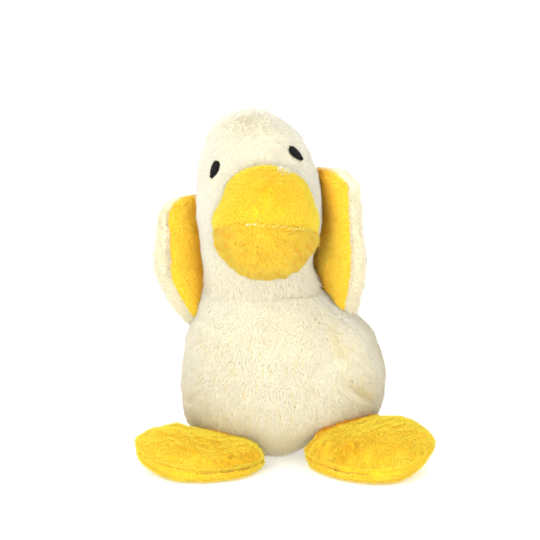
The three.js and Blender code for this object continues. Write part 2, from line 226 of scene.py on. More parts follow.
def grid_normals(grid, closed=False):
    """Outward normals of a grid: the cross product of its steps round and up."""
    around = np.roll(grid, -1, 1) - np.roll(grid, 1, 1) if closed else np.gradient(grid, axis=1)
    crossed = np.cross(around, np.gradient(grid, axis=0))
    size = np.linalg.norm(crossed, axis=-1)
    normals = unit(crossed)
    for row, inward in ((0, 1), (len(grid) - 1, -1)):
        is_pole = size[row].max() < 0.05 * np.median(size)
        if is_pole:
            normals[row] = unit(normals[row + inward].mean(0))
    return normals


def body_rows(count):
    """Rings of the body: a quarter oval up from the seat, a cosine shoulder, the cup for the head."""
    turn = np.linspace(0, np.pi / 2, count // 2)
    bulge = np.sin(turn)
    lower = np.stack([
        SEAT_RADIUS + (BODY_HALF_WIDTH - SEAT_RADIUS) * bulge,
        SEAT_RADIUS + (BODY_HALF_DEPTH - SEAT_RADIUS) * bulge,
        0 * turn,
        NECK_Y * bulge,
        BELLY_HEIGHT * (1 - np.cos(turn)),
    ])
    top = 1 - RIM_DROP / (NECK_HEIGHT - BELLY_HEIGHT)
    rise = np.linspace(0, top, count // 2)[1:]
    bulge = (1 + np.cos(np.pi * rise**2)) / 2
    z = BELLY_HEIGHT + (NECK_HEIGHT - BELLY_HEIGHT) * rise
    upper = np.stack([
        NECK_RADIUS + (BODY_HALF_WIDTH - NECK_RADIUS) * bulge,
        NECK_RADIUS + (BODY_HALF_DEPTH - NECK_RADIUS) * bulge,
        NECK_X * smooth(z, NECK_HEIGHT - LEAN_DROP, NECK_HEIGHT),
        NECK_Y + 0 * z,
        z,
    ])
    dip = np.linspace(np.arcsin(RIM_DROP / NECK_RADIUS), np.pi / 2, count // 6)[1:]
    cup = NECK_RADIUS + CUP_GAP
    hollow = np.stack([
        cup * np.cos(dip), cup * np.cos(dip), NECK_X + 0 * dip, NECK_Y + 0 * dip,
        NECK_HEIGHT - cup * np.sin(dip),
    ])
    disc = np.array([[share * SEAT_RADIUS, share * SEAT_RADIUS, 0, 0, 0] for share in SEAT_DISC_SHARES]).T
    return np.concatenate([disc, lower, upper, hollow], axis=1)


BODY_RINGS = body_rows(160)
BODY_TOP = int(np.argmax(BODY_RINGS[4]))
SEAT_TOP = int(np.argmax(BODY_RINGS[4] > SEAT_SEAM_HEIGHT))


def body_at(height):
    """Half width, half depth and centre of the body's outer ring at a height."""
    outer = BODY_RINGS[:, len(SEAT_DISC_SHARES):BODY_TOP + 1]
    return [np.interp(height, outer[4], part) for part in outer[:4]]


def back_swell(rows, turns):
    """The rump and the tail: bell curves in height, the tail one in turn as well."""
    z = rows[4][:, None]
    aside = (np.mod(turns, 2 * np.pi) - np.pi) / TAIL_TURN
    tail = TAIL_REACH * np.exp(-aside**2) * bell(z - TAIL_HEIGHT, TAIL_HALF_HEIGHT)
    return tail + RUMP_REACH * np.maximum(0, -np.cos(turns)) * bell(z - RUMP_HEIGHT, RUMP_HALF_HEIGHT)


# Creases on the front of the body, each from one (x, z) to another, with depth and breadth
BODY_CREASES = [
    ((25.0, 38.5), (39.0, 24.5), 2.6, 1.7),
    ((17.0, 60.0), (27.0, 42.0), 1.6, 2.2),
    ((-35.0, 31.0), (-43.0, 22.0), 1.2, 1.6),
]


def crease_sink(grid):
    """Depth of the body's creases at each point: a bell curve across a line that fades at its ends."""
    sink = np.zeros(grid.shape[:-1])
    for start, end, depth, breadth in BODY_CREASES:
        along = np.subtract(end, start)
        offset = grid[..., [0, 2]] - start
        share = np.clip(offset @ along / (along @ along), 0, 1)
        away = np.linalg.norm(offset - share[..., None] * along, axis=-1)
        sink += depth * np.sin(np.pi * (0.08 + 0.84 * share)) * bell(away, breadth) * (grid[..., 1] < NECK_Y)
    return sink


def seam_sink(grid, turns, seams, centre, depth, breadth):
    """How far each point sinks into the upright seams: a bell curve across each."""
    radius = np.hypot(grid[..., 0] - centre[0], grid[..., 1] - centre[1])
    apart = [np.angle(np.exp(1j * (turns - np.radians(seam)))) * radius for seam in seams]
    return depth * sum(bell(away, breadth) for away in apart)


# Depth and breadth of the upright seams
BODY_SEAM_SINK = (1.0, 1.2)
HEAD_SEAM_SINK = (0.8, 1.1)

# Heights between which the body passes into the neck
NECK_BAND = (62.0, 71.0)

# Depth of the left shoulder's hollow, the bell curves of the right flank as depth, height and breadth, and how
# far the seat's edge is off the ground
SHOULDER_SINK = 3.0
FLANK_SINKS = [(1.6, 43.0, 9.0), (-1.0, 16.0, 7.0), (1.2, 61.0, 7.0)]
SEAT_LIFT = 5.0


def side_sink(points):
    """How far the sides sink: the duck's left shoulder and its right flank, which fills out low down."""
    x, z = points[..., 0], points[..., 2]
    left = SHOULDER_SINK * smooth(z, 34.0, 48.0) * smooth(x, 2.0, 18.0) * (1 - 0.4 * smooth(z, *NECK_BAND))
    right = sum(depth * bell(z - height, breadth) for depth, height, breadth in FLANK_SINKS)
    return left + right * smooth(-x, 8.0, 26.0)


def seat_lift(points):
    """How far the seat's front edge stands off the ground on the duck's left, next to the foot."""
    x, y, z = points[..., 0], points[..., 1], points[..., 2]
    return SEAT_LIFT * smooth(x, -1.0, 14.0) * smooth(-y, 4.0, 14.0) * (1 - smooth(z, 2.0, 22.0))


def body_grid(turns, closed=False):
    """The body's surface for these turns, with seams, creases and the unevenness of stuffing."""
    grid = oval_rings(BODY_RINGS, turns, swell=back_swell(BODY_RINGS, turns))
    outer, cup = grid[:BODY_TOP + 1], grid[BODY_TOP + 1:]
    normals = np.concatenate([grid_normals(outer, closed), grid_normals(cup, closed)])
    z = grid[..., 2]
    sink = seam_sink(grid, turns, BODY_SEAMS, (NECK_X / 2, NECK_Y), *BODY_SEAM_SINK) + crease_sink(grid)
    sink = sink + 0.5 * smooth(z, *NECK_BAND) + side_sink(grid)
    puff = uneven(grid, "body", "body") * (1 - smooth(z, NECK_BAND[0], NECK_BAND[1] - 1.0))
    grid = grid + normals * (smooth(z, 1.0, 9.0) * (puff - sink))[..., None]
    grid[..., 2] += seat_lift(grid)
    return grid, normals


def head_rows(count):
    """Rings of the head: half a ball at the neck, a cosine swell to the cheeks, a superellipse dome."""
    turn = np.linspace(0, np.pi / 2, count // 4)
    ball = np.stack([NECK_RADIUS * np.sin(turn), -NECK_RADIUS * np.cos(turn)])
    rise = np.linspace(0, 1, count // 4)[1:]
    swell = (1 - np.cos(np.pi * rise)) / 2
    cheeks = np.stack([NECK_RADIUS + (CHEEK_RADIUS - NECK_RADIUS) * swell, CHEEK_HEIGHT * rise])
    rise = np.sin(np.linspace(0, np.pi / 2, count // 2))[1:]
    radius = CHEEK_RADIUS * np.maximum(0, 1 - rise**DOME_POWER) ** (1 / DOME_POWER)
    dome = np.stack([radius, CHEEK_HEIGHT + (HEAD_HEIGHT - CHEEK_HEIGHT) * rise])
    radius, z = np.concatenate([ball, cheeks, dome], axis=1)
    return np.stack([radius, radius, 0 * z, 0 * z, z])


HEAD_RINGS = head_rows(170)


def head_radius(height):
    """Radius of the round head at a height over the neck."""
    return np.interp(height, HEAD_RINGS[4], HEAD_RINGS[0])


# Shares of its breadth that the head lacks in three places
RIGHT_CHEEK, LEFT_NECK, LEFT_CROWN = 0.085, 0.13, 0.15


def breadth_share(points):
    """How much of its breadth the head keeps: less at the right cheek, the left neck and the left crown."""
    x, z = points[..., 0], points[..., 2]
    right = RIGHT_CHEEK * smooth(z, 6.0, 24.0) * (1 - smooth(z, 52.0, 66.0))
    left = LEFT_NECK * bell(z - 4, 10.0) + LEFT_CROWN * bell(z - 67, 5.0)
    return 1 - np.where(x < 0, right, left)


def drawn_in(points):
    """Points of the round head with that share of their way aside."""
    return np.stack([points[..., 0] * breadth_share(points), points[..., 1], points[..., 2]], -1)


def head_grid(turns, closed=False):
    """The head's surface for these turns, smooth in the neck's cup and uneven above it."""
    grid = drawn_in(oval_rings(HEAD_RINGS, turns))
    normals = grid_normals(grid, closed)
    z = grid[..., 2]
    sink = seam_sink(grid, turns, HEAD_SEAMS, (0, 0), *HEAD_SEAM_SINK) * (1 - smooth(z, 56.0, 66.0))
    puff = uneven(grid, "head", "head")
    return grid + normals * (smooth(z, 4.0, 14.0) * (puff - sink))[..., None], normals


def bill_grid(turns):
    """The bill: an egg whose top draws in like a shield, with a groove where the mouth seam is."""
    rise = np.linspace(-np.pi / 2, np.pi / 2, 130)
    rows = np.stack([
        BILL_HALF_WIDTH * np.maximum(np.cos(rise), 0) ** np.where(rise > 0, 0.8, 1.0),
        BILL_HALF_DEPTH * np.cos(rise), 0 * rise, 0 * rise, BILL_HALF_HEIGHT * np.sin(rise),
    ])
    rows[:2, [0, -1]] = 0
    grid = oval_rings(rows, turns)
    x, z = grid[..., 0], grid[..., 2]
    grid[..., 0] *= 1 - np.where(x < 0, 0.125 * bell(z - 11, 9.0), 0.05 * bell(z - 12, 7.0))
    normals = grid_normals(grid, True)
    away = z + MOUTH_DROP
    sink = (0.5 + 0.3 * smooth(np.cos(turns), 0.3, 0.8)) * bell(away, 1.1) + 0.35 * bell(away, 4.0)
    puff = 0.35 * lumps(grid, 16.0, "bill lumps")
    puff += 0.4 * lumps(grid * [1, 1, 1.6], 7.0, "bill tufts") * smooth(-away, 0.0, 5.0)
    return grid + normals * (puff - sink)[..., None], normals


def wing_rows(cut, count=110):
    """Rings of a wing pad from its root up: narrow at the seam, broad and blunt at the tip."""
    rise = (1 - np.cos(np.linspace(0, np.pi, count))) / 2
    spread = smooth(rise, -0.12, 0.52)
    end = np.sqrt(np.maximum(0, 1 - np.abs(2 * rise - 1) ** cut["square"]))
    breadth = cut["root"] + (WING_BREADTH - cut["root"]) * spread
    x = -cut["side"] * cut["inset"] + 0 * rise
    bulge = cut["bulge"] * bell(rise - cut["middle"], 0.24)
    centre = WING_TIP_BACK * spread - bulge / 2 + (cut["root"] - WING_ROOT) / 2 * (1 - spread)
    return np.stack([
        WING_THICKNESS / 2 * end, (breadth + bulge) / 2 * end, x, centre,
        cut["length"] * rise - cut["hem"],
    ])


def wing_grid(name, part, columns=90):
    """One side of a wing: the lining where the pad is beyond its seam plane, the cover round the rest.

    Any other part is the whole pad.
    """
    cut = WINGS[name]
    rows = wing_rows(cut)
    share = np.clip(WING_SEAM / np.maximum(rows[0], 1e-6), 0, 1)
    half = np.arccos(share ** (WING_SQUARENESS / 2))
    middle = -cut["side"] * np.pi / 2
    spread = np.linspace(-1, 1, columns)
    if part == "lining":
        kept = share < 1
        turns = middle + half[kept, None] * spread
        rows = rows[:, kept]
    elif part == "cover":
        turns = middle + np.pi + (np.pi - half)[:, None] * spread
    else:
        turns = full_turn(columns)
    grid = oval_rings(rows, turns, squareness=WING_SQUARENESS)
    normals = grid_normals(grid, closed=part == "whole")
    seam_x = -cut["side"] * (cut["inset"] + WING_SEAM)
    sink = 0.9 * bell(grid[..., 0] - seam_x, 0.8)
    outer = smooth(cut["side"] * (grid[..., 0] - seam_x), 0.0, 3.0)
    puff = uneven(grid, "wing", name)
    puff = puff + 0.5 * cut["bulge"] * outer * bell(grid[..., 2] / cut["length"] - cut["middle"], 0.22)
    return grid + normals * (puff - sink)[..., None], normals


def foot_grid(name, turns):
    """A foot pad: a rounded rim off the floor, then a flattened dome."""
    cut = FEET[name]
    heading = np.radians(cut["turn"])
    turn = np.linspace(0, np.pi / 2, 24)
    share = 0.8 + 0.2 * np.sin(turn)
    rim = np.stack([share, FOOT_RIM_HEIGHT * (1 - np.cos(turn))])
    turn = np.linspace(0, np.pi / 2, 80)[1:]
    height = FOOT_RIM_HEIGHT + (cut["thickness"] - FOOT_RIM_HEIGHT) * np.sin(turn)
    dome = np.stack([np.cos(turn) ** 0.75, height])
    disc = np.array([[0, 0.3, 0.6], [0, 0, 0]])
    share, z = np.concatenate([disc, rim, dome], axis=1)
    z = z - hinge_place(name)[2]
    rows = np.stack([FOOT_LENGTH / 2 * share, FOOT_BREADTH / 2 * share, FOOT_REACH + 0 * z, 0 * z, z])
    grid = oval_rings(rows, turns, squareness=FOOT_SQUARENESS, egg=FOOT_EGG_SHARE)
    normals = grid_normals(grid, True)
    height = grid[..., 2] + hinge_place(name)[2]
    sink = 1.0 * bell(height - FOOT_RIM_HEIGHT, 0.9)
    puff = uneven(grid, "foot", name)
    grid = grid + normals * (smooth(height, 0.5, 2.5) * (puff - sink))[..., None]
    ahead = np.array([np.sin(heading), np.cos(heading)])
    across = np.array([-np.cos(heading), np.sin(heading)])
    outer = grid[..., :2] @ ahead * np.sign(heading)
    back = grid[..., :2] @ across * cut["shallow"] + cut["slant"] * (outer - FOOT_BEND)
    outer = 0.98 * outer + cut["shift"]
    for axis in (0, 1):
        grid[..., axis] = outer * np.sign(heading) * ahead[axis] + back * across[axis]
    toes = smooth(outer, FOOT_BEND, FOOT_TOES) ** 1.4
    grid[..., 2] += cut["lift"] * toes * (1 - height / (cut["thickness"] + 4))
    grid[..., 2] -= cut["flat"] * (height - 2) * smooth(height, 2.0, 8.0) * (1 - smooth(outer, 0.0, 22.0))
    return grid, grid_normals(grid, True)


# Places of the parts in the duck: a rotation and an origin each
HEAD_PLACE = (turned(-HEAD_ROLL, "Y"), hinge_place("head"))
BILL_PLACE = (
    HEAD_PLACE[0] @ turned(-BILL_PITCH, "X") @ turned(MOUTH_TILT, "Y"),
    HEAD_PLACE[1] + HEAD_PLACE[0] @ BILL_OFFSET,
)


def wing_place(name):
    """A wing leans on the hinge and then turns about the upright."""
    cut = WINGS[name]
    rotation = turned(cut["side"] * cut["yaw"], "Z") @ turned(cut["side"] * cut["lean"], "Y")
    return rotation, hinge_place(name) + [cut["shift"], 0, 0]


def foot_place(name):
    """A foot points along its own turn from the front."""
    return turned(FEET[name]["turn"] - 90, "Z"), hinge_place(name)


def placed(points, place):
    """Points of a part in the frame of the duck."""
    return points @ place[0].T + place[1]


def unplaced(points, place):
    """Points of the duck in the frame of a part."""
    return (points - place[1]) @ place[0]


def laid_on_body(points, name, angles, margin):
    """Points pushed level out of the body with the part turned by each angle on its hinge, the last at rest.

    A wing's root may lie deeper. A foot's points go straight out along the foot, to where a quadratic puts
    them on the body's oval.
    """
    pivot = hinge_place(name)
    if name in FEET:
        heading = np.radians(FEET[name]["turn"])
        ahead_x, ahead_y = np.sin(heading), -np.cos(heading)
    for angle in angles:
        spin = np.array(Matrix.Rotation(np.radians(angle), 3, Vector(HINGES[name]["axis"])))
        there = (points - pivot) @ spin.T + pivot
        wide, deep, x, y = body_at(there[..., 2])
        sunk = margin - np.maximum(side_sink(there), 0)
        if name in WINGS:
            sunk = sunk - WING_ROOT_SINK * smooth(pivot[2] - points[..., 2], -5.0, 3.0)
        wide, deep = wide + sunk, deep + sunk
        aside, back = there[..., 0] - x, there[..., 1] - y
        share = np.hypot(aside / wide, back / deep)
        inside = (share < 1) & (there[..., 2] < NECK_HEIGHT - RIM_DROP)
        if name in FEET:
            slope = ahead_x**2 / wide**2 + ahead_y**2 / deep**2
            half = aside * ahead_x / wide**2 + back * ahead_y / deep**2
            root = np.sqrt(np.maximum(half**2 - slope * (share**2 - 1), 0))
            step = np.where(inside, root - half, 0) / slope
            there[..., 0] += step * ahead_x
            there[..., 1] += step * ahead_y
        else:
            scale = np.where(inside, 1 / np.maximum(share, 0.25), 1.0)
            there[..., 0] = x + aside * scale
            there[..., 1] = y + back * scale
        points = (there - pivot) @ spin + pivot
    return points


def before_face(points, margin):
    """Points pushed straight forward out of the head: y = -root(radius squared - x squared)."""
    local = unplaced(points, HEAD_PLACE)
    radius = head_radius(local[..., 2]) + margin
    aside = local[..., 0] / breadth_share(local)
    face = -np.sqrt(np.maximum(radius**2 - aside**2, 0))
    local[..., 1] = np.minimum(local[..., 1], face)
    return placed(local, HEAD_PLACE)


def clear_of_head(points, margin):
    """Points pushed out of the space that the head takes up, away from its own axis."""
    local = unplaced(points, HEAD_PLACE)
    radius = head_radius(local[..., 2]) + margin
    away = np.hypot(local[..., 0], local[..., 1])
    inside = (away < radius) & (local[..., 2] > -NECK_RADIUS) & (local[..., 2] < HEAD_HEIGHT)
    local[..., :2] *= np.where(inside, radius / np.maximum(away, 1), 1.0)[..., None]
    return placed(local, HEAD_PLACE)


# Meshes
def new_object(name, verts, faces, body, material):
    """A mesh from arrays of places in millimetres and of corners, which rides on a body."""
    mesh = bpy.data.meshes.new(name)
    corners = np.asarray(faces, np.int32)
    count, sides = corners.shape
    mesh.vertices.add(len(verts))
    mesh.vertices.foreach_set("co", (np.asarray(verts, np.float64) * MM).astype(np.float32).ravel())
    mesh.loops.add(corners.size)
    mesh.loops.foreach_set("vertex_index", corners.ravel())
    mesh.polygons.add(count)
    mesh.polygons.foreach_set("loop_start", np.arange(0, corners.size, sides, dtype=np.int32))
    mesh.polygons.foreach_set("use_smooth", np.ones(count, bool))
    mesh.update(calc_edges=True)
    mesh.materials.append(material)
    obj = bpy.data.objects.new(name, mesh)
    bpy.context.scene.collection.objects.link(obj)
    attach(obj, body)
    return obj


def weld(obj):
    """Merges the points that meet at poles and seams, and turns all faces outwards."""
    mesh = bmesh.new()
    mesh.from_mesh(obj.data)
    bmesh.ops.remove_doubles(mesh, verts=mesh.verts, dist=0.00001)
    loose = [edge for edge in mesh.edges if not edge.link_faces]
    bmesh.ops.delete(mesh, geom=loose, context="EDGES")
    bmesh.ops.recalc_face_normals(mesh, faces=mesh.faces)
    mesh.to_mesh(obj.data)
    mesh.free()
    obj.data.update()
    return obj


def grid_quads(rows, columns, closed):
    """Left and right corners of each row's faces, and the quads between the rows."""
    index = np.arange(rows * columns).reshape(rows, columns)
    left, right = (index, np.roll(index, -1, 1)) if closed else (index[:, :-1], index[:, 1:])
    return left, right, np.stack([left[:-1], right[:-1], right[1:], left[1:]], -1).reshape(-1, 4)


def panel_mesh(outer, normals, closed):
    """A panel of cloth: the grid, the same grid sunk by the backing's thickness, and its edges closed."""
    rows, columns = outer.shape[:2]
    inner = outer - normals * BACKING
    left, right, quads = grid_quads(rows, columns, closed)
    step = rows * columns
    faces = [quads, quads[:, ::-1] + step]
    for row in (0, rows - 1):
        if np.ptp(outer[row], axis=0).max() > 0.01:
            faces.append(np.stack([left[row], right[row], right[row] + step, left[row] + step], 1))
    if not closed:
        index = np.arange(step).reshape(rows, columns)
        for column in (0, columns - 1):
            low, high = index[:-1, column], index[1:, column]
            faces.append(np.stack([low, high, high + step, low + step], 1))
    return np.concatenate([outer.reshape(-1, 3), inner.reshape(-1, 3)]), np.concatenate(faces)


def thinned(grid, normals, closed):
    """Every second row and column of a grid, with its last ones."""
    count = grid.shape[1]
    rows = np.unique(np.r_[0:len(grid):2, len(grid) - 1])
    columns = np.arange(0, count, 2) if closed else np.unique(np.r_[0:count:2, count - 1])
    return grid[rows][:, columns], normals[rows][:, columns]


def make_panel(name, node, body, grid, normals, closed, material, fit=None):
    """A cloth panel below its pile; fit pushes its two skins clear of what it is sewn to."""
    grid, normals = thinned(grid, normals, closed)
    verts, faces = panel_mesh(grid - normals * PILE_SINK, normals, closed)
    if fit:
        outer, inner = np.split(verts, 2)
        verts = np.concatenate([fit(outer, SEWN_OUTER), fit(inner, SEWN_INNER)])
    verts[:, 2] = np.maximum(verts[:, 2], CLOTH_FLOOR)
    obj = weld(new_object(name, verts, faces, body, material))
    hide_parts(node)


def make_filling(name, node, body, grid, normals, depth):
    """Stuffing: the closed skin sunk by a depth below its cover and made lumpy."""
    sunk = grid - normals * (depth + 0.4 - 0.5 * lumps(grid, 6.0, name))[..., None]
    sunk[..., 2] = np.maximum(sunk[..., 2], FIBRE_FLOOR)
    sunk[0], sunk[-1] = sunk[0].mean(0), sunk[-1].mean(0)
    quads = grid_quads(*grid.shape[:2], True)[2]
    obj = weld(new_object(name, sunk.reshape(-1, 3), quads, body, FIBRE))
    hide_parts(node)


def scatter(grid, normals, closed, count, name, keep=None):
    """Random places on a grid, even by area: points, normals and shares of the way round and up.

    A place lies in a quad by bilinear weights; keep drops the quads with a corner where it is false.
    """
    draw = seeded(name)
    rows, columns = grid.shape[:2]
    left, _, quads = grid_quads(rows, columns, closed)
    points, normals = grid.reshape(-1, 3), normals.reshape(-1, 3)
    a, b, c, d = (points[quads[:, k]] for k in range(4))
    area = np.linalg.norm(np.cross(c - a, d - b), axis=-1)
    if keep is not None:
        area = area * keep(points)[quads].all(1)
    chosen = np.searchsorted(np.cumsum(area) / area.sum(), draw.random(count)).clip(0, len(quads) - 1)
    across, up = draw.random((2, count, 1))
    weights = [(1 - across) * (1 - up), across * (1 - up), across * up, (1 - across) * up]
    corners = quads[chosen]
    place = sum(weight * points[corners[:, k]] for k, weight in enumerate(weights))
    normal = unit(sum(weight * normals[corners[:, k]] for k, weight in enumerate(weights)))
    wide = left.shape[1]
    shares = np.stack([(chosen % wide + across[:, 0]) / wide, (chosen // wide + up[:, 0]) / (rows - 1)], 1)
    return place, normal, shares


def combed(roots, direction):
    """Which way the pile at these roots is brushed: the direction laid flat on the skin."""
    normals = roots[1]
    vectors = np.broadcast_to(direction, normals.shape)
    return unit(vectors - (vectors * normals).sum(-1, keepdims=True) * normals)


def field(points, wavelength, name):
    """A soft random field of vectors."""
    return np.stack([lumps(points, wavelength, name + axis) for axis in "xyz"], -1)


# Large primes that make one number of a cell's three
CELL_PRIMES = np.array([73856093, 19349663, 83492791])

# Corners of a strand's four faces, its tip last, and the room that a strand takes on its texture
STRAND_CORNERS = np.array([[0, 1, 3], [1, 2, 3], [2, 0, 3], [2, 1, 0]])
STRAND_SPOTS = np.array([[-1, 0], [1, 0], [0, 1], [0, 2]]) * 0.0012


def make_pile(name, body, roots, flow, material, length, width=0.34, lean=0.8, ruffle=0.22, clump=1.8,
              gather=0.3, tone=None, stray=0.13):
    """Pile as tapered strands of three sides: each leans along the flow, its flat side in, and tips clump.

    A clump is the strands whose roots share a cell of a lattice bent by noise; tips move towards its mean.
    Ruffle bends the strands in soft waves and stray turns each by itself.
    """
    draw = seeded(name)
    points, normals, shares = roots
    count = len(points)
    waves = 0.7 * field(points, 13.0, name) + 0.6 * field(points, 4.5, name + " fine ")
    way = normals + lean * flow + ruffle * waves
    way = unit(way + stray * draw.normal(size=(count, 3)))
    rise = (way * normals).sum(-1, keepdims=True)
    way = unit(np.where(rise < 0.25, way + (0.3 - rise) * normals, way))
    tips = points + way * length * draw.uniform(0.7, 1.15, (count, 1))
    cells = np.floor((points + 0.6 * clump * field(points, 5.0, name + " cell ")) / clump).astype(np.int64)
    _, group = np.unique(cells @ CELL_PRIMES, return_inverse=True)
    size = np.bincount(group)[:, None]
    middle = np.stack([np.bincount(group, tips[:, k]) for k in range(3)], 1) / size
    pull = middle[group] - tips
    pull -= (pull * way).sum(-1, keepdims=True) * way
    tips += gather * draw.uniform(0.4, 1.0, (count, 1)) * pull
    tips[:, 2] = np.maximum(tips[:, 2], TIP_FLOOR)
    way = unit(tips - points)
    side = unit(np.cross(way, normals + draw.normal(size=(count, 3))))
    other = np.cross(side, way)
    spokes = np.stack([side, -side, 0.7 * other], axis=1)
    base = (points - 0.25 * normals)[:, None] + spokes * (width / 2)
    verts = np.concatenate([base, tips[:, None]], axis=1)
    verts[..., 2] = np.maximum(verts[..., 2], ROOT_FLOOR)
    faces = (4 * np.arange(count)[:, None, None] + STRAND_CORNERS).reshape(-1, 3)
    mesh = new_object(name, verts.reshape(-1, 3), faces, body, material).data
    # Along the strand, its own random shade, and its share of the darker tone, which in most parts is painted
    # shade
    strand = np.zeros((count, 4, 3), np.float32)
    strand[:, 3, 0] = 1.0
    strand[..., 1] = draw.random((count, 1))
    if tone is not None:
        strand[..., 2] = tone(points)[:, None]
    mesh.attributes.new("Strand", "FLOAT_VECTOR", "POINT").data.foreach_set("vector", strand.ravel())
    spots = np.clip(shares[:, None] * 0.98 + 0.01 + STRAND_SPOTS, 0, 1)
    layer = mesh.uv_layers.new(name="OFBake")
    layer.data.foreach_set("uv", spots[:, STRAND_CORNERS].astype(np.float32).ravel())


def make_threads(name, body, paths, outs, radius, material, sides=6):
    """Closed round threads along paths: rings of a small circle that shrinks to nothing at both ends."""
    ahead = unit(np.gradient(paths, axis=1))
    across = unit(np.cross(ahead, outs))
    outs = np.cross(across, ahead)
    share = np.linspace(-1, 1, paths.shape[1])
    girth = radius * np.sqrt(np.maximum(0, 1 - share**8))[None, :, None, None]
    turn = full_turn(sides)[None, None, :, None]
    rings = paths[:, :, None] + girth * (np.cos(turn) * across[:, :, None] + np.sin(turn) * outs[:, :, None])
    count, steps = paths.shape[:2]
    quads = grid_quads(steps, sides, True)[2]
    faces = (quads[None] + np.arange(count)[:, None, None] * steps * sides).reshape(-1, 4)
    return weld(new_object(name, rings.reshape(-1, 3), faces, body, material))


# Materials
def new_group(name, inputs, outputs):
    """A node group with typed sockets; returns its tree and its two end nodes."""
    tree = bpy.data.node_groups.new(name, "ShaderNodeTree")
    for label, kind, value in inputs:
        socket = tree.interface.new_socket(name=label, in_out="INPUT", socket_type="NodeSocket" + kind)
        socket.default_value = value
    for label, kind in outputs:
        tree.interface.new_socket(name=label, in_out="OUTPUT", socket_type="NodeSocket" + kind)
    return tree, tree.nodes.new("NodeGroupInput"), tree.nodes.new("NodeGroupOutput")


def plug(tree, node, inputs):
    """Gives each input of a node another node's socket or a plain value."""
    for key, value in inputs.items():
        if isinstance(value, bpy.types.NodeSocket):
            tree.links.new(value, node.inputs[key])
        else:
            node.inputs[key].default_value = value


def add_node(tree, kind, inputs=None, **settings):
    """A node with its settings and its inputs."""
    node = tree.nodes.new("ShaderNode" + kind)
    for key, value in settings.items():
        setattr(node, key, value)
    plug(tree, node, inputs or {})
    return node


def maths(tree, operation, first, second, **settings):
    """The result of one sum on two sockets or values."""
    return add_node(tree, "Math", {0: first, 1: second}, operation=operation, **settings).outputs[0]


def mix_colour(tree, factor, first, second, blend="MIX"):
    """The first colour with a share of the second."""
    node = add_node(tree, "Mix", {0: factor, 6: first, 7: second}, data_type="RGBA", blend_type=blend)
    return node.outputs[2]


def rgb(red, green, blue):
    """A linear colour from sRGB values of 0 to 255."""
    share = np.array([red, green, blue]) / 255
    linear = np.where(share <= 0.04045, share / 12.92, ((share + 0.055) / 1.055) ** 2.4)
    return (*linear.tolist(), 1.0)


WHITE = (1, 1, 1, 1)


def pile_tone_group():
    """Colour of pile: root to tip, a little different from strand to strand, and in soft patches."""
    tree, given, out = new_group(
        "Pile tone",
        [*((label, "Color", WHITE) for label in ("Tip", "Root", "Shade")), ("Patches", "Float", 0.2)],
        [("Color", "Color")],
    )
    strand = add_node(tree, "Attribute", attribute_name="Strand")
    along, chance, shade = add_node(tree, "SeparateXYZ", {0: strand.outputs["Vector"]}).outputs
    reach = maths(tree, "POWER", along, 0.6)
    tip = mix_colour(tree, reach, given.outputs["Root"], given.outputs["Tip"])
    place = add_node(tree, "TexCoord").outputs["Object"]
    noise = add_node(tree, "TexNoise", {"Vector": place, "Scale": 70.0, "Detail": 3.0})
    patch = add_node(tree, "MapRange", {0: noise.outputs["Fac"], 1: 0.42, 2: 0.72})
    amount = maths(tree, "MULTIPLY", patch.outputs[0], given.outputs["Patches"])
    total = maths(tree, "ADD", amount, shade, use_clamp=True)
    shaded = mix_colour(tree, total, tip, given.outputs["Shade"])
    bright = add_node(tree, "MapRange", {0: chance, 3: 0.96, 4: 1.03})
    varied = mix_colour(tree, 1.0, shaded, bright.outputs[0], "MULTIPLY")
    plug(tree, out, {"Color": varied})
    return tree


def cloth_group():
    """Colour and height of plain cloth: two crossed waves for its threads, darker between them and in soft
    noise.
    """
    tree, given, out = new_group(
        "Cloth",
        [("Light", "Color", WHITE), ("Dark", "Color", WHITE), ("Threads", "Float", 900.0)],
        [("Color", "Color"), ("Height", "Float")],
    )
    place = add_node(tree, "TexCoord").outputs["Object"]
    warp, weft = (
        add_node(
            tree, "TexWave", {"Vector": place, "Scale": given.outputs["Threads"], "Distortion": 0.6},
            bands_direction=direction,
        ).outputs["Fac"]
        for direction in "XZ"
    )
    height = maths(tree, "MAXIMUM", warp, weft)
    noise = add_node(tree, "TexNoise", {"Vector": place, "Scale": 120.0, "Detail": 4.0})
    share = maths(tree, "MULTIPLY", height, noise.outputs["Fac"])
    colour = mix_colour(tree, share, given.outputs["Dark"], given.outputs["Light"])
    plug(tree, out, {"Color": colour, "Height": height})
    return tree


PILE_TONE = pile_tone_group()
CLOTH = cloth_group()


def new_material(name, roughness, sheen=0.0, sheen_tint=WHITE):
    """A dull material with a sheen: the material, its tree and its shader."""
    material = bpy.data.materials.new(name)
    material.use_nodes = True
    shader = material.node_tree.nodes["Principled BSDF"]
    plug(material.node_tree, shader, {
        "Roughness": roughness, "Specular IOR Level": 0.15,
        "Sheen Weight": sheen, "Sheen Roughness": 0.5, "Sheen Tint": sheen_tint,
    })
    return material, material.node_tree, shader


def pile_material(name, tip, root, shade, patches, sheen, tint):
    """Pile that goes from its root's colour to its tip's, with some of the shade."""
    material, tree, shader = new_material(name, 0.85, sheen, tint)
    given = {"Tip": tip, "Root": root, "Shade": shade, "Patches": patches}
    tone = add_node(tree, "Group", given, node_tree=PILE_TONE)
    plug(tree, shader, {"Base Color": tone.outputs["Color"]})
    return material


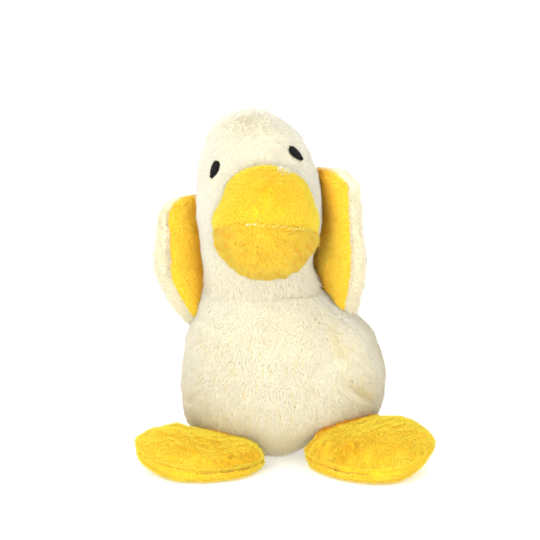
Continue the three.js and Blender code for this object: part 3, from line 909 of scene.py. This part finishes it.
def cloth_material(name, light, dark, threads, strength=0.5, roughness=0.9, sheen=0.2):
    """Cloth whose threads make the colour and, by the strength, the bumps."""
    material, tree, shader = new_material(name, roughness, sheen)
    cloth = add_node(tree, "Group", {"Light": light, "Dark": dark, "Threads": threads}, node_tree=CLOTH)
    bump = add_node(tree, "Bump", {"Strength": strength, "Distance": 0.0002, "Height": cloth.outputs["Height"]})
    plug(tree, shader, {"Base Color": cloth.outputs["Color"], "Normal": bump.outputs[0]})
    return material


# Colours of the pile at its tips and roots, the weight and tint of its sheen, and waves of thread in a metre
CREAM_TIP, CREAM_ROOT = rgb(255, 253, 242), rgb(254, 248, 224)
YELLOW_TIP, YELLOW_ROOT = rgb(255, 236, 84), rgb(253, 213, 44)
CREAM_SHEEN, YELLOW_SHEEN = (0.5, (1.0, 0.96, 0.86, 1)), (0.25, (1.0, 0.8, 0.3, 1))
KNIT, WOVEN, SATIN = 700.0, 1100.0, 2500.0

# The third colour of each pile is its shade, which the strands' darker tone mixes towards: mostly painted
# shade, and on the belly also a painted reflection of the feet
CREAM_PILE = pile_material("Cream pile", CREAM_TIP, CREAM_ROOT, rgb(246, 226, 150), 0.07, *CREAM_SHEEN)
# This pile's darker colour is painted shade for the left back, which turns away from the key lamp
PAINTED_SHADE_PILE = pile_material("Cream pile with painted shade", CREAM_TIP, CREAM_ROOT, rgb(202, 184, 132), 0.07, *CREAM_SHEEN)
YELLOW_PILE = pile_material("Yellow pile", YELLOW_TIP, YELLOW_ROOT, rgb(244, 168, 20), 0.06, *YELLOW_SHEEN)
CREAM_BACKING = cloth_material("Cream backing", CREAM_ROOT, rgb(250, 240, 206), KNIT)
YELLOW_BACKING = cloth_material("Yellow backing", YELLOW_ROOT, rgb(250, 196, 30), KNIT)
# The lining's backing is darker than the yellow backing: painted shade that matches the lining's pile where the
# cloth is bare
SHADED_LINING_BACKING = cloth_material("Lining backing with painted shade", rgb(248, 190, 30), rgb(242, 174, 22), KNIT)
EYE_BLACK = cloth_material("Eye thread", rgb(24, 21, 20), rgb(8, 8, 8), SATIN, 0.6, 0.6, 0.0)
SEAM_THREAD = cloth_material("Seam thread", rgb(255, 234, 130), rgb(253, 218, 90), SATIN, 0.6, 0.6)
FIBRE = cloth_material("Stuffing fibre", rgb(248, 248, 245), rgb(228, 228, 222), 300.0, 0.8, 0.95)
COTTON = cloth_material("Pouch cotton", rgb(235, 225, 208), rgb(208, 196, 176), WOVEN, 0.7, 0.9)
BEADS = cloth_material("Pellet plastic", rgb(225, 225, 225), rgb(205, 205, 205), 60.0, 0.1, 0.35)


# Body
def even_tone(share):
    """The same share of shade everywhere."""
    return lambda points: np.full(len(points), share)


def belly_streaks_and_painted_light(points):
    """Share of shade on the belly: fine upright streaks, a painted yellow reflection of the feet low down, and
    painted shade in the creases.
    """
    y, z = points[:, 1], points[:, 2]
    streaks = lumps(points * [1, 1, 0.11], 1.6, "streaks", 24)
    front = smooth(-z, -70.0, -50.0) * smooth(-y, 0.0, 20.0)
    # The last term is a painted yellow reflection of the feet on the low belly
    tone = 0.2 + 0.3 * front * smooth(streaks, 0.3, 1.5) + 0.4 * smooth(-z, -26.0, -6.0)
    # Painted shade in the creases
    return np.minimum(tone + 0.16 * crease_sink(points), 1)


def painted_back_shade(points):
    """Share of painted shade on the left back: most beside the seam at the front, where the side turns away
    from the key lamp.
    """
    angle = np.degrees(np.arctan2(points[:, 0], NECK_Y - points[:, 1]))
    band = smooth(points[:, 2], 8.0, 20.0) * (1 - smooth(points[:, 2], 52.0, 66.0))
    return 0.08 + 0.5 * smooth(angle, 62.0, 90.0) * (1 - smooth(angle, 95.0, 130.0)) * band


def painted_lining_shade(points):
    """Share of painted shade on a wing's lining: deep next to the head, which shades it."""
    local = unplaced(points, HEAD_PLACE)
    away = np.hypot(local[:, 0] / breadth_share(local), local[:, 1]) - head_radius(local[:, 2])
    return 0.25 + 0.6 * (1 - smooth(away, 1.0, 9.0))


def painted_foot_shade(points):
    """Share of painted shade on a foot: a painted shadow line, deep where it meets the body."""
    wide, deep, x, y = body_at(points[:, 2])
    share = np.hypot((points[:, 0] - x) / wide, (points[:, 1] - y) / deep)
    return 1 - smooth((share - 1) * BODY_MEAN_RADIUS, 0.5, 4.5)


def painted_bill_shade(points):
    """Share of painted shade under the mouth, where the lower bill faces down: more in streaks between tufts
    that fan out from the whorl and bend a little.
    """
    local = unplaced(points, BILL_PLACE) - WHORL_OFFSET
    away = np.hypot(local[:, 0], local[:, 2])
    angle = np.arctan2(local[:, 0], -local[:, 2]) + 0.05 * away
    fan = lumps(np.stack([13 * np.cos(angle), 13 * np.sin(angle), 0.3 * away], -1), 2.2, "fan", 24)
    return 0.22 + 0.45 * smooth(fan, 0.1, 1.4) * smooth(away, 1.0, 5.0)


for part, node, start, end, count, material, tone in [
    ("belly", "belly_panel", -100.0, 66.0, 49900, CREAM_PILE, belly_streaks_and_painted_light),
    ("left_back", "left_back_panel", 66.0, 180.0, 32000, PAINTED_SHADE_PILE, painted_back_shade),
    ("right_back", "right_back_panel", 180.0, 260.0, 24000, CREAM_PILE, even_tone(0.1)),
]:
    grid, normals = body_grid(turn_span(start, end, 110))
    rows = slice(SEAT_TOP, BODY_TOP + 1)
    grid, normals = grid[rows], normals[rows]
    make_panel(part + "_cloth", node, "torso", grid, normals, False, CREAM_BACKING)
    roots = scatter(grid - normals * PILE_SINK, normals, False, count, part)
    flow = combed(roots, [0, 0, -1.0]) * (1 + 0.4 * smooth(roots[0][:, 2:], 40.0, 58.0))
    make_pile(
        part + "_pile", "torso", roots, flow, material, 3.2,
        width=0.44, lean=1.35, ruffle=0.07, clump=1.5, gather=0.2, tone=tone,
    )

whole, whole_normals = body_grid(full_turn(150), closed=True)
seat, seat_normals = whole[:SEAT_TOP + 1], whole_normals[:SEAT_TOP + 1]
make_panel("seat_cloth", "seat_panel", "torso", seat, seat_normals, True, CREAM_BACKING)
roots = scatter(seat - seat_normals * PILE_SINK, seat_normals, True, 9000, "seat")
flow = combed(roots, roots[0] - [0, 0, 8.0])
make_pile("seat_pile", "torso", roots, flow, CREAM_PILE, 1.3, lean=1.2)

# The fibre fills the body up to the neck, in shares of its breadth and depth
core = BODY_RINGS[:, :int(np.argmax(BODY_RINGS[4] > NECK_BAND[0])) + 1].copy()
core[:2, -1] = 0
core = oval_rings(core, full_turn(80)) * [0.86, 0.87, 1.0]
core[..., 0] -= np.sign(core[..., 0]) * (side_sink(core) + 0.5)
core[..., 2] += seat_lift(core)
make_filling("body_fibre", "body_stuffing", "torso", core, grid_normals(core, True), 0.4)


# Head
def has_pile(points):
    """True where the head has pile: not in the neck, under the bill or under an eye."""
    local = unplaced(points, HEAD_PLACE)
    local[:, 0] /= breadth_share(local)
    in_bill = unplaced(points, BILL_PLACE) / [BILL_HALF_WIDTH, BILL_HALF_DEPTH, BILL_HALF_HEIGHT]
    furred = (local[:, 2] > -9.0) & (np.linalg.norm(in_bill, axis=-1) > 0.84)
    for height, turn, tilt in EYES.values():
        aside = np.angle(np.exp(1j * (np.arctan2(local[..., 0], -local[..., 1]) - np.radians(turn))))
        aside, up = aside * head_radius(height), (local[..., 2] - height - 0.5) / EYE_SLOPE
        lean = np.radians(tilt)
        across = aside * np.cos(lean) + up * np.sin(lean)
        along = up * np.cos(lean) - aside * np.sin(lean)
        furred &= np.hypot(across / (EYE_WIDTH / 2 + 0.2), along / (EYE_LENGTH / 2 + 0.3)) > 1
    return furred


def head_tone(points):
    """Share of shade on the head: more towards the neck."""
    return 0.03 + 0.2 * (1 - smooth(points[:, 2], 74.0, 100.0))


# The point over the crown that the head's pile is brushed away from
PARTING = placed(np.array([0, 20.0, HEAD_HEIGHT + 4.0]), HEAD_PLACE)


for part, node, start, end, count in [
    ("face", "face_panel", -95.0, 95.0, 46000),
    ("left_head", "left_head_panel", 95.0, 180.0, 19000),
    ("right_head", "right_head_panel", 180.0, 265.0, 19000),
]:
    grid, normals = head_grid(turn_span(start, end, 120))
    grid, ways = placed(grid, HEAD_PLACE), normals @ HEAD_PLACE[0].T
    make_panel(part + "_cloth", node, "head", grid, ways, False, CREAM_BACKING)
    roots = scatter(grid - ways * PILE_SINK, ways, False, count, part, keep=has_pile)
    height = roots[0][:, 2:]
    # At the neck the strands are of uneven length and lie flatter, over the edge of the body's pile
    low = 1 - smooth(height, NECK_HEIGHT - 6.0, NECK_HEIGHT + 6.0)
    length = 2.3 + 5.5 * low * seeded(part + " hem").uniform(0, 1, low.shape) ** 1.4
    flow = combed(roots, roots[0] - PARTING) * (1.05 + 0.2 * low)
    make_pile(
        part + "_pile", "head", roots, flow, CREAM_PILE, length,
        width=0.42, lean=1.25, ruffle=0.06, gather=0.12,
        stray=0.13 + 0.15 * smooth(height, 122.0, 134.0), tone=head_tone,
    )

whole, whole_normals = head_grid(full_turn(140), closed=True)
make_filling(
    "head_fibre", "head_stuffing", "head", placed(whole, HEAD_PLACE)[::2, ::2],
    (whole_normals @ HEAD_PLACE[0].T)[::2, ::2], PILE_SINK + BACKING + 0.8,
)

# Bill
bill, bill_normals = bill_grid(full_turn(150))
bill_world, bill_ways = placed(bill, BILL_PLACE), bill_normals @ BILL_PLACE[0].T
pushed = np.linalg.norm(before_face(bill_world, -1.4) - bill_world, axis=-1) > 0.2
mouth_row = int(np.argmax(bill[:, 0, 2] > -MOUTH_DROP))

# The point below the mouth that the lower bill's pile spreads from
WHORL_OFFSET = np.array([0.5, -25.0, -9.0])
WHORL = placed(WHORL_OFFSET, BILL_PLACE)

for part, rows, count in [
    ("upper_bill", slice(mouth_row, None), 17000),
    ("lower_bill", slice(0, mouth_row + 1), 16000),
]:
    grid, normals = bill_world[rows], bill_ways[rows]
    make_panel(
        part + "_cloth", part + "_panel", "head", grid, normals, True,
        YELLOW_BACKING, before_face,
    )
    free = ~pushed[rows].ravel()
    roots = scatter(grid - normals * PILE_SINK, normals, True, count, part, keep=lambda points: free)
    if part == "upper_bill":
        flow = combed(roots, [0, -0.4, -1.0])
        make_pile(part + "_pile", "head", roots, flow, YELLOW_PILE, 1.9)
    else:
        away, down = combed(roots, roots[0] - WHORL), combed(roots, [0.25, -0.4, -1.0])
        near = 1 - smooth(np.linalg.norm(roots[0] - WHORL, axis=-1), 1.0, 12.0)[:, None]
        flow = unit(away + 0.4 * np.cross(roots[1], away) + (0.5 + 1.6 * near) * down)
        make_pile(
            part + "_pile", "head", roots, flow, YELLOW_PILE, 2.7,
            width=0.4, lean=1.1, ruffle=0.2, clump=1.6, gather=0.5, tone=painted_bill_shade,
        )

# The pile of the face falls over the bill's upper left edge, where the skin faces forward less than the limit
# that goes with its place aside
facing = bill_ways @ [0, -0.974, 0.225] + 0.05 * lumps(bill, 2.2, "brow")
aside = bill[..., 0] + 0.35 * lumps(bill, 1.8, "brow end")
limit = np.interp(aside, [3.4, 3.8, 9.0, 12.0], [-1, 0.42, 0.28, -0.1])
brow = ((facing < limit) & (bill[..., 2] > 3) & ~pushed)[mouth_row:].ravel()
upper, upper_ways = bill_world[mouth_row:], bill_ways[mouth_row:]
roots = scatter(upper - upper_ways * 0.7, upper_ways, True, 500, "brow", keep=lambda points: brow)
flow = combed(roots, [0.1, -0.4, -1.0])
make_pile("brow_pile", "head", roots, flow, CREAM_PILE, 2.4, width=0.42, lean=1.1, ruffle=0.5)

inner = before_face(placed(bill * 0.84, BILL_PLACE), 0.8)
make_filling("bill_fibre", "bill_stuffing", "head", inner[::3, ::3], bill_ways[::3, ::3], 0.2)

# Eyes, each a mound of satin stitch across its teardrop
for name, (height, turn, tilt) in EYES.items():
    draw = seeded(name)
    along = np.linspace(-0.97, 0.97, EYE_STITCHES)
    half = EYE_WIDTH / 2 * np.sqrt(1 - along**2) * (1 + EYE_TAPER * along)
    half = half + draw.uniform(-0.3, 0.25, EYE_STITCHES)
    share = np.linspace(-1, 1, 11)
    across = np.maximum(half, 0.4)[:, None] * share
    upward = (along * EYE_LENGTH / 2)[:, None] + draw.normal(0, 0.05, (EYE_STITCHES, 1)) + 0.12 * share
    lean = np.radians(tilt)
    aside = across * np.cos(lean) - upward * np.sin(lean)
    z = height + EYE_SLOPE * (across * np.sin(lean) + upward * np.cos(lean))
    radius = head_radius(z)
    angle = np.radians(turn) + aside / radius
    lift = -0.7 + 1.1 * np.sqrt(np.maximum(0, 1 - share**4))
    out = unit(np.stack([np.sin(angle), -np.cos(angle), np.full(angle.shape, 0.5)], -1))
    path = drawn_in(np.stack([radius * np.sin(angle), -radius * np.cos(angle), z], -1)) + out * lift[:, None]
    threads = make_threads(
        name + "_stitch", "head", placed(path, HEAD_PLACE), out @ HEAD_PLACE[0].T,
        EYE_THREAD, EYE_BLACK,
    )
    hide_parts(name)

# Stitches in the mouth seam, on the bill's oval at the seam's height
seam_share = np.sqrt(1 - (MOUTH_DROP / BILL_HALF_HEIGHT) ** 2)
for name, start, end, count, radius, material in [
    ("mouth_stitches", -12, 50, 15, 0.22, SEAM_THREAD),
    ("mouth_specks", -17, -9, 3, 0.17, CREAM_BACKING),
]:
    draw = seeded(name)
    spots = np.radians(np.linspace(start, end, count) + draw.uniform(-1, 1, count))
    share = np.linspace(-1, 1, 7)
    slant = spots[:, None] + 0.03 * share
    z = -MOUTH_DROP + 0.5 * share[None] + draw.uniform(-0.3, 0.3, (count, 1))
    lift = 0.5 - 0.6 * share**4
    out = np.stack([np.sin(slant), -np.cos(slant), 0 * slant], -1)
    wide, deep = BILL_HALF_WIDTH * seam_share + lift, BILL_HALF_DEPTH * seam_share + lift
    path = np.stack([wide * out[..., 0], deep * out[..., 1], z], -1)
    make_threads(name, "head", placed(path, BILL_PLACE), out @ BILL_PLACE[0].T, radius, material)

# Wings
for name in WINGS:
    place, length = wing_place(name), WINGS[name]["length"]

    def clear(points, margin, name=name):
        """The wing's points clear of the body and then of the head."""
        return clear_of_head(laid_on_body(points, name, WING_TURNS, margin), HEAD_GAP)

    for part, material, backing, slot, count in [
        ("lining", YELLOW_PILE, SHADED_LINING_BACKING, "yellow_pile", 13000),
        ("cover", CREAM_PILE, CREAM_BACKING, "cream_pile", 20000),
    ]:
        flat, normals = wing_grid(name, part)
        grid, ways = placed(flat, place), normals @ place[0].T
        make_panel(
            f"{name}_{part}_cloth", f"{name}_{part}", name, grid, ways, False, backing, clear,
        )
        # Pile only where the body doesn't push the cloth
        pushed = laid_on_body(grid, name, WING_TURNS, SEWN_OUTER)
        free = (np.linalg.norm(pushed - grid, axis=-1) < 0.5).ravel()
        sunk = clear_of_head(grid - ways * PILE_SINK, HEAD_GAP)
        roots = scatter(sunk, ways, False, count, name + part, keep=lambda points: free)
        # The lining's strands turn over the edge at the top, and the cover's get shorter there
        reach = unplaced(roots[0], place)[:, 2:] + WINGS[name]["hem"]
        top = smooth(reach, length - 7.0, length - 2.0)
        flow = combed(roots, -place[0][:, 2])
        if part == "lining":
            flow, strands, tone = flow * (1 - 2.4 * top), 2.0 + 0.6 * top, painted_lining_shade
        else:
            strands, tone = 2.3 - 1.2 * top, even_tone(0.3)
        make_pile(
            f"{name}_{part}_pile", name, roots, flow, material, strands, lean=0.6, ruffle=0.15, tone=tone,
        )
    whole, whole_normals = wing_grid(name, "whole", 60)
    middle = whole.reshape(-1, 3).mean(0) + [0, 0, 3.0]
    inner = clear(placed(middle + 0.76 * (whole - middle), place), 1.0)
    make_filling(
        name + "_fibre", name + "_stuffing", name, inner[::2], (whole_normals @ place[0].T)[::2], 0.2,
    )

# Feet
for name in FEET:
    place = foot_place(name)
    flat, normals = foot_grid(name, full_turn(130))
    grid, ways = placed(flat, place), normals @ place[0].T

    def clear(points, margin, name=name):
        """The foot's points clear of the body at each of its turns."""
        return laid_on_body(points, name, FOOT_TURNS, margin)

    still = np.linalg.norm(clear(grid, SEWN_OUTER) - grid, axis=-1) < 0.4
    rim = int(np.argmax(flat[:, 0, 2] + place[1][2] > FOOT_RIM_HEIGHT))
    for part, rows, count, length in [
        ("top", slice(rim, None), 19000, 2.3),
        ("sole", slice(0, rim + 1), 11000, 1.9),
    ]:
        make_panel(
            f"{name}_{part}_cloth", f"{name}_{part}", name, grid[rows], ways[rows], True,
            YELLOW_BACKING, clear,
        )
        free = still[rows].ravel()
        skin = grid[rows] - ways[rows] * PILE_SINK
        roots = scatter(skin, ways[rows], True, count, name + part, keep=lambda points: free)
        flow = combed(roots, place[0][:, 0] + [0, -0.5, -0.3])
        make_pile(
            f"{name}_{part}_pile", name, roots, flow, YELLOW_PILE, length,
            lean=1.0, ruffle=0.18, clump=2.1, tone=painted_foot_shade,
        )
    middle = np.array([FOOT_REACH + 4.0, 0, flat[..., 2].mean() - 1.0])
    inner = laid_on_body(placed(middle + 0.74 * (flat - middle), place), name, FOOT_END_TURNS, 2.0)
    make_filling(name + "_fibre", name + "_stuffing", name, inner[::2, ::2], ways[::2, ::2], 0.2)

# Pouch of pellets in the seat
low, high = (np.array(corner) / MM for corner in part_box("pouch_base"))
high[2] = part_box("pouch_top")[1][2] / MM
middle, half = (low + high) / 2, (high - low) / 2
rise = np.linspace(-np.pi / 2, np.pi / 2, 60)
girth = np.maximum(np.cos(rise), 0) ** 0.8
rows = np.stack([
    half[0] * girth, half[1] * girth, middle[0] + 0 * rise, middle[1] + 0 * rise,
    middle[2] + half[2] * np.sign(rise) * np.abs(np.sin(rise)) ** 0.7,
])
rows[:2, [0, -1]] = 0
pouch = oval_rings(rows, full_turn(90), squareness=2.3)
pouch_normals = grid_normals(pouch, True)
pouch = pouch + pouch_normals * (0.3 * lumps(pouch, 4.0, "pouch") - 0.4)[..., None]
for part, node, rows in [
    ("pouch_lower", "pouch_base", slice(0, 31)),
    ("pouch_upper", "pouch_top", slice(30, None)),
]:
    verts, faces = panel_mesh(pouch[rows], pouch_normals[rows] * 0.5, True)
    bag = weld(new_object(part + "_cotton", verts, faces, "torso", COTTON))
    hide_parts(node)

# Beads on a slightly shaken lattice inside the pouch
BEAD_RADIUS, BEAD_STEP, BEAD_SHAKE = 1.6, 3.35, 0.25
BEAD_MARGIN = 2.9
draw = seeded("beads")
ico = bmesh.new()
bmesh.ops.create_icosphere(ico, subdivisions=1, radius=BEAD_RADIUS)
ico.verts.index_update()
ball = np.array([vert.co[:] for vert in ico.verts])
ball_faces = np.array([[vert.index for vert in face.verts] for face in ico.faces])
ico.free()
lattice = np.stack(np.meshgrid(*[np.arange(-24, 24, BEAD_STEP)] * 3, indexing="ij"), -1).reshape(-1, 3)
lattice = lattice + draw.uniform(-BEAD_SHAKE, BEAD_SHAKE, lattice.shape)
lattice = lattice[np.linalg.norm(lattice / (half - BEAD_MARGIN), axis=1) < 1] + middle
beads = lattice[:, None] + ball[None]
faces = (ball_faces[None] + len(ball) * np.arange(len(lattice))[:, None, None]).reshape(-1, 3)
bead_fill = new_object("bead_fill", beads.reshape(-1, 3), faces, "torso", BEADS)
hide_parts("pellets")

# Ground, light and camera
bpy.ops.mesh.primitive_plane_add(size=6.0, location=(0, 0, 0))
floor = bpy.context.object
floor.name = "floor"
material, tree, shader = new_material("White ground", 0.9)
plug(tree, shader, {"Base Color": (0.93, 0.93, 0.93, 1), "Emission Color": WHITE, "Emission Strength": 0.3})
floor.data.materials.append(material)

world = bpy.data.worlds.new("White room")
world.use_nodes = True
bpy.context.scene.world = world
plug(world.node_tree, world.node_tree.nodes["Background"], {"Color": WHITE, "Strength": 1.2})

# The middle of the duck, in metres, which the lamps and the camera look at
TARGET = Vector((0, -0.005, 0.075))


def add_lamp(name, place, size, watts):
    """A square lamp of warm white that faces the duck."""
    lamp = bpy.data.lights.new(name, "AREA")
    lamp.energy, lamp.size = watts, size
    lamp.color = (1.0, 0.985, 0.96)
    obj = bpy.data.objects.new(name, lamp)
    obj.location = place
    obj.rotation_euler = (TARGET - Vector(place)).to_track_quat("-Z", "Y").to_euler()
    bpy.context.scene.collection.objects.link(obj)
    return obj


for name, place, size, watts in [
    ("key", (-0.45, -0.95, 0.8), 0.7, 6.0),
    ("front", (0.1, -1.4, 0.16), 0.8, 7.0),
    ("low front", (0, -0.9, 0.05), 0.5, 1.6),
    ("top", (0.1, 0.15, 1.2), 1.0, 2.0),
    ("back", (-0.3, 1.3, 0.6), 0.8, 5.0),
]:
    add_lamp(name, place, size, watts)

# A lamp for the yellow linings alone, between the wings and the head
fill = add_lamp("lining fill", (-0.3, -1.37, 0.4), 0.4, 15.0)
fill.light_linking.receiver_collection = bpy.data.collections.new("linings")
for name in WINGS:
    for kind in ("cloth", "pile"):
        fill.light_linking.receiver_collection.objects.link(bpy.data.objects[f"{name}_lining_{kind}"])

bpy.context.scene.view_settings.view_transform = "Standard"

# Camera in front and a little above, moved aside and up to set the duck in the picture
CAMERA_ELEVATION, CAMERA_DISTANCE = np.radians(13.0), 1.5
CAMERA_ASIDE, CAMERA_UP = -0.00546, 0.0021
lens = bpy.data.cameras.new("camera")
lens.lens, lens.sensor_width = 238.1, 36.0
camera = bpy.data.objects.new("camera", lens)
back = Vector((0, -np.cos(CAMERA_ELEVATION), np.sin(CAMERA_ELEVATION)))
up = Vector((0, np.sin(CAMERA_ELEVATION), np.cos(CAMERA_ELEVATION)))
camera.location = TARGET + back * CAMERA_DISTANCE + Vector((CAMERA_ASIDE, 0, 0)) + up * CAMERA_UP
camera.rotation_euler = (-back).to_track_quat("-Z", "Y").to_euler()
bpy.context.scene.collection.objects.link(camera)
bpy.context.scene.camera = camera
